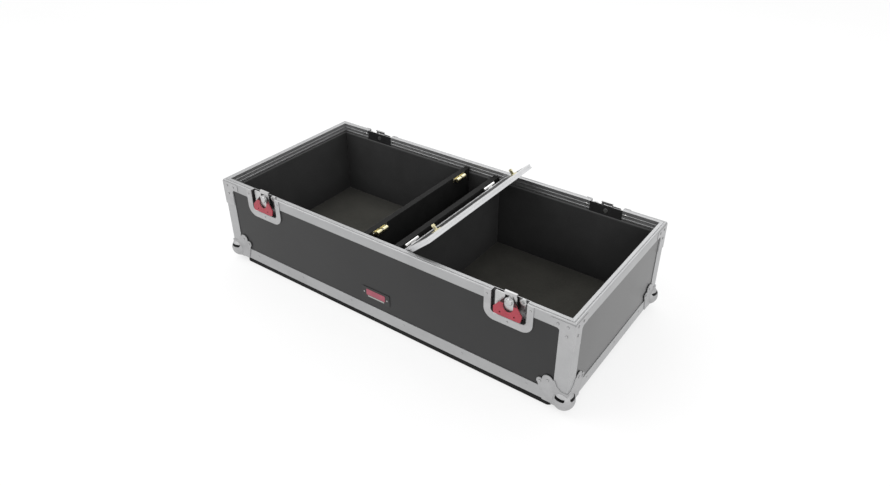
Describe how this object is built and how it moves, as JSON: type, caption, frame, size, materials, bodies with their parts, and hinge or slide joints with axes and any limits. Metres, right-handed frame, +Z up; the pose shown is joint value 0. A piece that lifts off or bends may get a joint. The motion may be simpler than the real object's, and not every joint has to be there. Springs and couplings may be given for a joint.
{
  "type": "speaker flight case",
  "caption": "Low flight case for two speakers, aluminium edged, with padded bays either side of a lidded utility bay and recessed butterfly latches.",
  "frame": {"origin": "middle of the underside board, on the surface that the case stands on", "axes": "+X along the case, from the bay on the left to the bay that the open lid leans over; +Y from the badge side to the back; +Z up"},
  "size_m": [1.1368, 0.5358, 0.3187],
  "materials": {
    "laminated_plywood": "dark grey laminated plywood",
    "black_board": "black painted plywood",
    "black_laminate": "black laminate",
    "aluminium": "bright anodised extrusion",
    "black_foam": "black foam lining",
    "floor_mat": "dark dense foam mat",
    "red_enamel": "red enamel",
    "plated_steel": "bright zinc and nickel plating",
    "brass": "bright brass",
    "badge_black": "dark plate",
    "badge_red": "plain red field"
  },
  "bodies": {
    "case": {"badge_label": "badge_red", "badge_plate": "badge_black", "ball_corners": "plated_steel", "case_rivets": "plated_steel", "case_screws": "plated_steel", "catch_bodies": "brass", "catch_springs": "plated_steel", "corner_angles": "aluminium", "corner_braces": "plated_steel", "floor_panel": "laminated_plywood", "front_bottom_angle": "aluminium", "front_left_latch_dish": "plated_steel", "front_panel": "laminated_plywood", "front_right_latch_dish": "plated_steel", "front_rim": "aluminium", "hinge_fixed_leaves": "plated_steel", "hinge_pins": "plated_steel", "latch_padlock_eyes": "plated_steel", "left_bay_floor_mat": "floor_mat", "left_bay_wall_foam": "black_foam", "left_bottom_angle": "aluminium", "left_divider": "laminated_plywood", "left_end_panel": "laminated_plywood", "left_rim": "aluminium", "rear_bottom_angle": "aluminium", "rear_left_latch_dish": "plated_steel", "rear_panel": "laminated_plywood", "rear_right_latch_dish": "plated_steel", "rear_rim": "aluminium", "right_bay_floor_mat": "floor_mat", "right_bay_wall_foam": "black_foam", "right_bottom_angle": "aluminium", "right_divider": "laminated_plywood", "right_end_panel": "laminated_plywood", "right_rim": "aluminium", "underside_board": "black_board", "utility_bay_floor_mat": "floor_mat", "utility_bay_wall_foam": "black_foam"},
    "utility_lid": {"lid_panel": "black_laminate", "lid_free_edge_trim": "aluminium", "lid_hinge_edge_trim": "aluminium", "lid_end_trims": "aluminium", "lid_spears": "brass", "hinge_moving_leaves": "plated_steel"},
    "front_left_latch_turner": {"front_left_latch_cam": "plated_steel"},
    "front_left_latch_flap": {"front_left_latch_wing": "red_enamel"},
    "front_left_latch_slider": {"front_left_latch_hook": "plated_steel"},
    "front_right_latch_turner": {"front_right_latch_cam": "plated_steel"},
    "front_right_latch_flap": {"front_right_latch_wing": "red_enamel"},
    "front_right_latch_slider": {"front_right_latch_hook": "plated_steel"},
    "rear_left_latch_turner": {"rear_left_latch_cam": "plated_steel"},
    "rear_left_latch_flap": {"rear_left_latch_wing": "red_enamel"},
    "rear_left_latch_slider": {"rear_left_latch_hook": "plated_steel"},
    "rear_right_latch_turner": {"rear_right_latch_cam": "plated_steel"},
    "rear_right_latch_flap": {"rear_right_latch_wing": "red_enamel"},
    "rear_right_latch_slider": {"rear_right_latch_hook": "plated_steel"},
    "front_catch_near_plunger": {"front_catch_near_ball": "plated_steel"},
    "front_catch_far_plunger": {"front_catch_far_ball": "plated_steel"},
    "rear_catch_near_plunger": {"rear_catch_near_ball": "plated_steel"},
    "rear_catch_far_plunger": {"rear_catch_far_ball": "plated_steel"}
  },
  "joints": [
    {"name": "utility_lid_hinge", "type": "hinge", "parent": "case", "child": "utility_lid", "pos_m": [0.0618, 0, 0.243], "axis": [0, -1, 0], "range_deg": [0, 139]},
    {"name": "front_left_latch_turn", "type": "hinge", "parent": "case", "child": "front_left_latch_turner", "pos_m": [-0.3915, -0.2454, 0.2475], "axis": [0, -1, 0], "range_deg": [0, 180]},
    {"name": "front_left_latch_fold", "type": "hinge", "parent": "front_left_latch_turner", "child": "front_left_latch_flap", "pos_m": [-0.3915, -0.2505, 0.2465], "axis": [-1, 0, 0], "range_deg": [0, 81]},
    {"name": "front_left_latch_pull", "type": "slide", "parent": "case", "child": "front_left_latch_slider", "axis": [0, 0, -1], "range_m": [0, 0.008]},
    {"name": "front_right_latch_turn", "type": "hinge", "parent": "case", "child": "front_right_latch_turner", "pos_m": [0.3915, -0.2454, 0.2475], "axis": [0, -1, 0], "range_deg": [0, 180]},
    {"name": "front_right_latch_fold", "type": "hinge", "parent": "front_right_latch_turner", "child": "front_right_latch_flap", "pos_m": [0.3915, -0.2505, 0.2465], "axis": [-1, 0, 0], "range_deg": [0, 81]},
    {"name": "front_right_latch_pull", "type": "slide", "parent": "case", "child": "front_right_latch_slider", "axis": [0, 0, -1], "range_m": [0, 0.008]},
    {"name": "rear_left_latch_turn", "type": "hinge", "parent": "case", "child": "rear_left_latch_turner", "pos_m": [-0.3915, 0.2454, 0.2475], "axis": [0, 1, 0], "range_deg": [0, 180]},
    {"name": "rear_left_latch_fold", "type": "hinge", "parent": "rear_left_latch_turner", "child": "rear_left_latch_flap", "pos_m": [-0.3915, 0.2505, 0.2465], "axis": [1, 0, 0], "range_deg": [0, 81]},
    {"name": "rear_left_latch_pull", "type": "slide", "parent": "case", "child": "rear_left_latch_slider", "axis": [0, 0, -1], "range_m": [0, 0.008]},
    {"name": "rear_right_latch_turn", "type": "hinge", "parent": "case", "child": "rear_right_latch_turner", "pos_m": [0.3915, 0.2454, 0.2475], "axis": [0, 1, 0], "range_deg": [0, 180]},
    {"name": "rear_right_latch_fold", "type": "hinge", "parent": "rear_right_latch_turner", "child": "rear_right_latch_flap", "pos_m": [0.3915, 0.2505, 0.2465], "axis": [1, 0, 0], "range_deg": [0, 81]},
    {"name": "rear_right_latch_pull", "type": "slide", "parent": "case", "child": "rear_right_latch_slider", "axis": [0, 0, -1], "range_m": [0, 0.008]},
    {"name": "front_catch_near_press", "type": "slide", "parent": "case", "child": "front_catch_near_plunger", "axis": [0, -1, 0], "range_m": [0, 0.0009], "stiffness_N_per_m": 100, "springref_m": -0.003},
    {"name": "front_catch_far_press", "type": "slide", "parent": "case", "child": "front_catch_far_plunger", "axis": [0, 1, 0], "range_m": [0, 0.0009], "stiffness_N_per_m": 100, "springref_m": -0.003},
    {"name": "rear_catch_near_press", "type": "slide", "parent": "case", "child": "rear_catch_near_plunger", "axis": [0, -1, 0], "range_m": [0, 0.0009], "stiffness_N_per_m": 100, "springref_m": -0.003},
    {"name": "rear_catch_far_press", "type": "slide", "parent": "case", "child": "rear_catch_far_plunger", "axis": [0, 1, 0], "range_m": [0, 0.0009], "stiffness_N_per_m": 100, "springref_m": -0.003}
  ],
  "couplings": [
    {"joint": "front_left_latch_pull", "follows": "front_left_latch_turn", "m_per_rad": 0.0025464},
    {"joint": "front_right_latch_pull", "follows": "front_right_latch_turn", "m_per_rad": 0.0025464},
    {"joint": "rear_left_latch_pull", "follows": "rear_left_latch_turn", "m_per_rad": 0.0025464},
    {"joint": "rear_right_latch_pull", "follows": "rear_right_latch_turn", "m_per_rad": 0.0025464}
  ]
}
